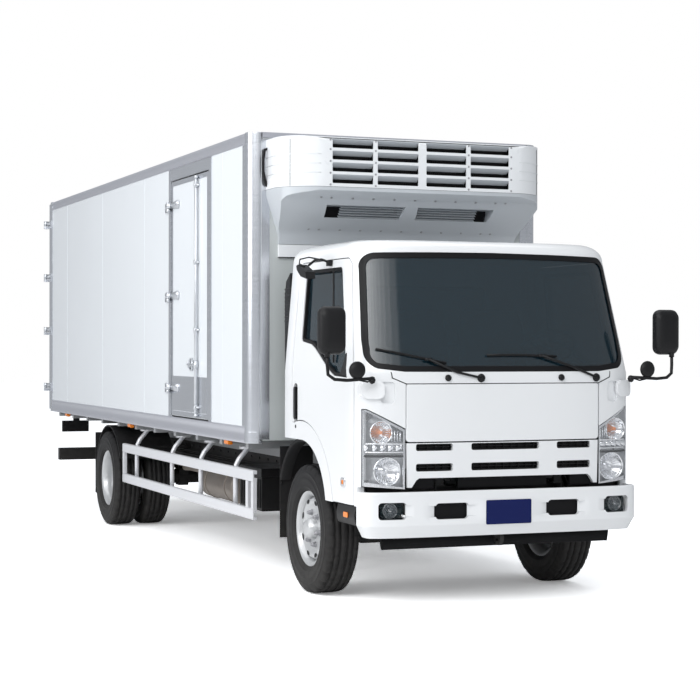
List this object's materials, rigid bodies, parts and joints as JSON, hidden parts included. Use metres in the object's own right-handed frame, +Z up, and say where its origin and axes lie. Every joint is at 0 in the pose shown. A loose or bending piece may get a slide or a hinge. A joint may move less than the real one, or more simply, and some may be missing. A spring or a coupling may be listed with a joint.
{
  "type": "refrigerated box truck",
  "caption": "Cab-over truck with an insulated box body, nose-mounted refrigeration unit, twin rear wheels, tilting cab, steering and opening doors.",
  "frame": {"origin": "centre of the overall length and width, on the ground under the tyres", "axes": "+Y towards the rear doors along the truck (the cab faces -Y), +X towards the truck's left side, +Z up"},
  "size_m": [2.39, 8.168, 2.987],
  "materials": {
    "cab_paint": "gloss white enamel",
    "panel_skin": "smooth white composite skin",
    "chassis_paint": "satin black",
    "black_plastic": "fine grained black",
    "grey_plastic": "satin grey",
    "trim_steel": "satin stainless",
    "trim_aluminium": "satin anodised",
    "wheel_silver": "satin silver paint",
    "tyre": "matt black",
    "window_glass": "tinted",
    "lamp": "clear cover over a chromed bowl",
    "red_lens": "moulded lens",
    "navy_plate": "gloss, blank",
    "seat_cloth": "woven",
    "engine_iron": "rough cast"
  },
  "bodies": {
    "chassis": {"chassis_frame": "chassis_paint", "engine_block": "engine_iron", "radiator": "trim_aluminium", "front_axle": "chassis_paint", "rear_axle": "chassis_paint", "leaf_springs": "chassis_paint", "drive_shaft": "chassis_paint", "fuel_tank": "trim_aluminium", "battery_box": "black_plastic", "exhaust_silencer": "trim_steel", "front_bumper": "cab_paint", "lamps": "red_lens", "number_plate": "navy_plate", "mudguards": "black_plastic", "side_guards": "trim_aluminium", "rear_underrun_bar": "chassis_paint", "box_floor": "trim_aluminium", "box_front_wall": "panel_skin", "box_left_wall": "panel_skin", "box_right_wall": "panel_skin", "box_roof": "panel_skin", "box_rear_frame": "trim_steel", "box_trim": "trim_steel", "refrigeration_unit": "panel_skin", "refrigeration_base": "grey_plastic"},
    "cab": {"cab_shell": "cab_paint", "cab_floor": "chassis_paint", "cab_glass": "window_glass", "dashboard": "grey_plastic", "seats": "seat_cloth", "headlamps": "lamp", "grille": "black_plastic", "mirrors": "black_plastic", "wipers": "black_plastic", "air_intake_duct": "black_plastic"},
    "front_lid": {"front_lid": "cab_paint"},
    "cab_door_left": {"cab_door_left": "cab_paint", "door_glass_left": "window_glass"},
    "cab_door_right": {"cab_door_right": "cab_paint", "door_glass_right": "window_glass"},
    "steering_wheel": {"steering_wheel": "black_plastic"},
    "rear_door_left": {"rear_door_left": "panel_skin"},
    "rear_door_right": {"rear_door_right": "panel_skin"},
    "side_door": {"side_door": "panel_skin"},
    "knuckle_left": {"knuckle_left": "chassis_paint"},
    "knuckle_right": {"knuckle_right": "chassis_paint"},
    "tie_rod": {"tie_rod": "chassis_paint"},
    "front_left_wheel": {"front_left_tyre": "tyre", "front_left_rim": "wheel_silver"},
    "front_right_wheel": {"front_right_tyre": "tyre", "front_right_rim": "wheel_silver"},
    "rear_left_wheels": {"rear_left_tyres": "tyre", "rear_left_rims": "wheel_silver"},
    "rear_right_wheels": {"rear_right_tyres": "tyre", "rear_right_rims": "wheel_silver"}
  },
  "joints": [
    {"name": "cab_tilt", "type": "hinge", "parent": "chassis", "child": "cab", "pos_m": [0, -3.922, 0.785], "axis": [1, 0, 0], "range_deg": [0, 45]},
    {"name": "front_lid_hinge", "type": "hinge", "parent": "cab", "child": "front_lid", "pos_m": [0, -4.036, 1.34], "axis": [-1, 0, 0], "range_deg": [0, 80]},
    {"name": "cab_door_left_hinge", "type": "hinge", "parent": "cab", "child": "cab_door_left", "pos_m": [0.925, -3.872, 1.3], "axis": [0, 0, -1], "range_deg": [0, 70]},
    {"name": "cab_door_right_hinge", "type": "hinge", "parent": "cab", "child": "cab_door_right", "pos_m": [-0.925, -3.872, 1.3], "axis": [0, 0, 1], "range_deg": [0, 70]},
    {"name": "steering_wheel_turn", "type": "hinge", "parent": "cab", "child": "steering_wheel", "pos_m": [0.48, -3.632, 1.53], "axis": [0, 0.6157, 0.788], "range_deg": [-540, 540]},
    {"name": "steer_left", "type": "hinge", "parent": "chassis", "child": "knuckle_left", "pos_m": [0.7, -3.072, 0.4], "axis": [0, 0, 1], "range_deg": [-35, 35]},
    {"name": "steer_right", "type": "hinge", "parent": "chassis", "child": "knuckle_right", "pos_m": [-0.7, -3.072, 0.4], "axis": [0, 0, 1], "range_deg": [-35, 35]},
    {"name": "tie_rod_pivot", "type": "hinge", "parent": "knuckle_left", "child": "tie_rod", "pos_m": [0.7, -2.887, 0.297], "axis": [0, 0, 1], "range_deg": [-35, 35]},
    {"name": "front_left_wheel_spin", "type": "hinge", "parent": "knuckle_left", "child": "front_left_wheel", "pos_m": [0.815, -3.072, 0.407], "axis": [1, 0, 0], "continuous": true},
    {"name": "front_right_wheel_spin", "type": "hinge", "parent": "knuckle_right", "child": "front_right_wheel", "pos_m": [-0.815, -3.072, 0.407], "axis": [1, 0, 0], "continuous": true},
    {"name": "rear_left_wheels_spin", "type": "hinge", "parent": "chassis", "child": "rear_left_wheels", "pos_m": [0.845, 1.578, 0.407], "axis": [1, 0, 0], "continuous": true},
    {"name": "rear_right_wheels_spin", "type": "hinge", "parent": "chassis", "child": "rear_right_wheels", "pos_m": [-0.845, 1.578, 0.407], "axis": [1, 0, 0], "continuous": true},
    {"name": "rear_door_left_hinge", "type": "hinge", "parent": "chassis", "child": "rear_door_left", "pos_m": [1.105, 4.068, 1.9], "axis": [0, 0, -1], "range_deg": [0, 265]},
    {"name": "rear_door_right_hinge", "type": "hinge", "parent": "chassis", "child": "rear_door_right", "pos_m": [-1.105, 4.068, 1.9], "axis": [0, 0, 1], "range_deg": [0, 265]},
    {"name": "side_door_hinge", "type": "hinge", "parent": "chassis", "child": "side_door", "pos_m": [-1.1, -0.476, 1.9], "axis": [0, 0, -1], "range_deg": [0, 170]}
  ],
  "couplings": [
    {"joint": "steer_right", "follows": "steer_left", "ratio": 1},
    {"joint": "tie_rod_pivot", "follows": "steer_left", "ratio": -1},
    {"joint": "steering_wheel_turn", "follows": "steer_left", "ratio": 15}
  ]
}
